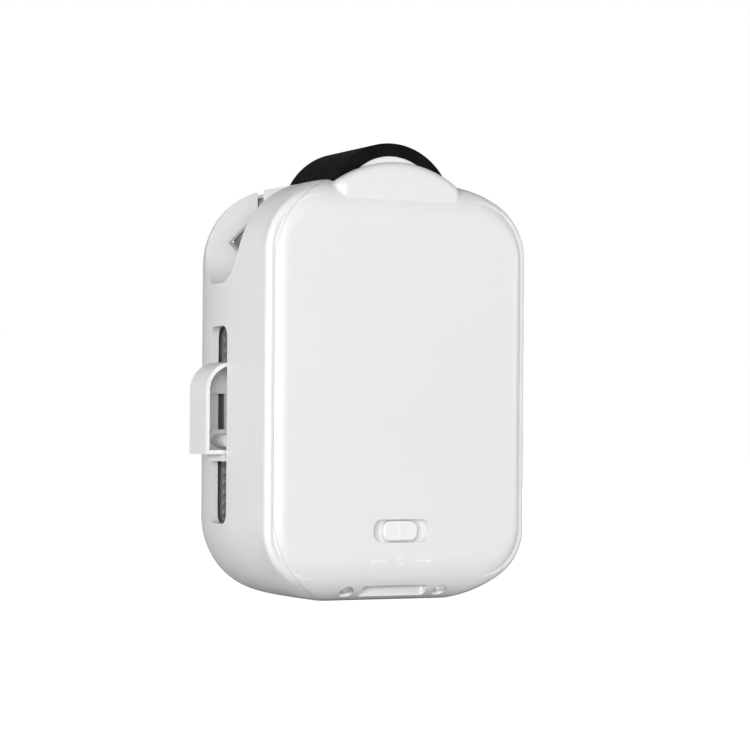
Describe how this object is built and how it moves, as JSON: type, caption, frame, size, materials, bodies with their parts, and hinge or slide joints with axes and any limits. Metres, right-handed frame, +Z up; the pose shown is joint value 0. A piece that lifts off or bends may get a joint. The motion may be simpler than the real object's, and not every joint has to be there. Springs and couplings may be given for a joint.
{
  "type": "curtain motor",
  "caption": "Clip-on curtain motor: rounded white battery body, rubber drive roller on top, folding hook arms on a height carriage, side release tabs, slide switch and charging port.",
  "frame": {"origin": "centre of the footprint, on the surface that the body stands on", "axes": "+Z up towards the drive roller, +Y from the front panel to the back, +X to the right seen from the front"},
  "size_m": [0.0798, 0.055, 0.1104],
  "materials": {
    "white_case": "satin moulded",
    "grey_plastic": "satin moulded",
    "hub_plastic": "smooth",
    "tyre_rubber": "smooth matte",
    "gear_plastic": "smooth",
    "brass": "cut",
    "steel": "turned",
    "polished_steel": "polished",
    "cell_wrap": "shrink wrap",
    "board": "lacquered",
    "board_black": "moulded",
    "light_guide": "clear"
  },
  "bodies": {
    "housing": {"front_cover": "white_case", "rear_shell": "white_case", "chassis": "grey_plastic", "drive_axle": "steel", "idler_pin": "steel", "motor_can": "steel", "gearbox": "steel", "left_cell": "cell_wrap", "right_cell": "cell_wrap", "cell_contacts": "steel", "main_board": "board", "board_parts": "board_black", "board_screws": "steel", "usb_socket": "steel", "switch_body": "board_black", "indicator_lens": "light_guide", "left_rack": "grey_plastic", "right_rack": "grey_plastic", "case_screws": "steel"},
    "roller": {"drive_tyre": "tyre_rubber", "drive_hub": "hub_plastic", "hub_gear": "gear_plastic", "axle_bearings": "steel"},
    "idler": {"idler_gear": "gear_plastic"},
    "pinion": {"motor_pinion": "brass", "motor_shaft": "steel"},
    "switch": {"switch_knob": "white_case"},
    "button": {"pairing_button": "grey_plastic"},
    "carriage": {"hook_carriage": "grey_plastic", "arm_pins": "steel", "left_tab_spring": "steel", "right_tab_spring": "steel"},
    "left_tab": {"left_release_tab": "white_case", "left_tab_screw": "steel"},
    "right_tab": {"right_release_tab": "white_case", "right_tab_screw": "steel"},
    "left_arm": {"left_hook_arm": "polished_steel"},
    "right_arm": {"right_hook_arm": "polished_steel"}
  },
  "joints": [
    {"name": "roller_spin", "type": "hinge", "parent": "housing", "child": "roller", "pos_m": [0, -0.0075, 0.0934], "axis": [0, 1, 0], "continuous": true},
    {"name": "idler_spin", "type": "hinge", "parent": "housing", "child": "idler", "pos_m": [0, 0.0083, 0.07414], "axis": [0, 1, 0], "continuous": true},
    {"name": "pinion_spin", "type": "hinge", "parent": "housing", "child": "pinion", "pos_m": [0, 0.0083, 0.06208], "axis": [0, 1, 0], "continuous": true},
    {"name": "switch_slide", "type": "slide", "parent": "housing", "child": "switch", "axis": [1, 0, 0], "range_m": [-0.0029, 0.0029]},
    {"name": "button_press", "type": "slide", "parent": "housing", "child": "button", "axis": [0, 0, 1], "range_m": [0, 0.0005], "stiffness_N_per_m": 1500, "springref_m": -0.0002},
    {"name": "carriage_slide", "type": "slide", "parent": "housing", "child": "carriage", "axis": [0, 0, 1], "range_m": [-0.0035, 0.0075]},
    {"name": "left_tab_press", "type": "slide", "parent": "carriage", "child": "left_tab", "axis": [1, 0, 0], "range_m": [0, 0.0024], "stiffness_N_per_m": 800, "springref_m": -0.002},
    {"name": "right_tab_press", "type": "slide", "parent": "carriage", "child": "right_tab", "axis": [-1, 0, 0], "range_m": [0, 0.0024], "stiffness_N_per_m": 800, "springref_m": -0.002},
    {"name": "left_arm_swing", "type": "hinge", "parent": "carriage", "child": "left_arm", "pos_m": [-0.015, 0.0149, 0.0973], "axis": [0, 1, 0], "range_deg": [0, 134]},
    {"name": "right_arm_swing", "type": "hinge", "parent": "carriage", "child": "right_arm", "pos_m": [0.015, 0.0149, 0.0973], "axis": [0, -1, 0], "range_deg": [0, 134]}
  ],
  "couplings": [
    {"joint": "idler_spin", "follows": "roller_spin", "ratio": -1.6667},
    {"joint": "pinion_spin", "follows": "roller_spin", "ratio": 2.5}
  ]
}
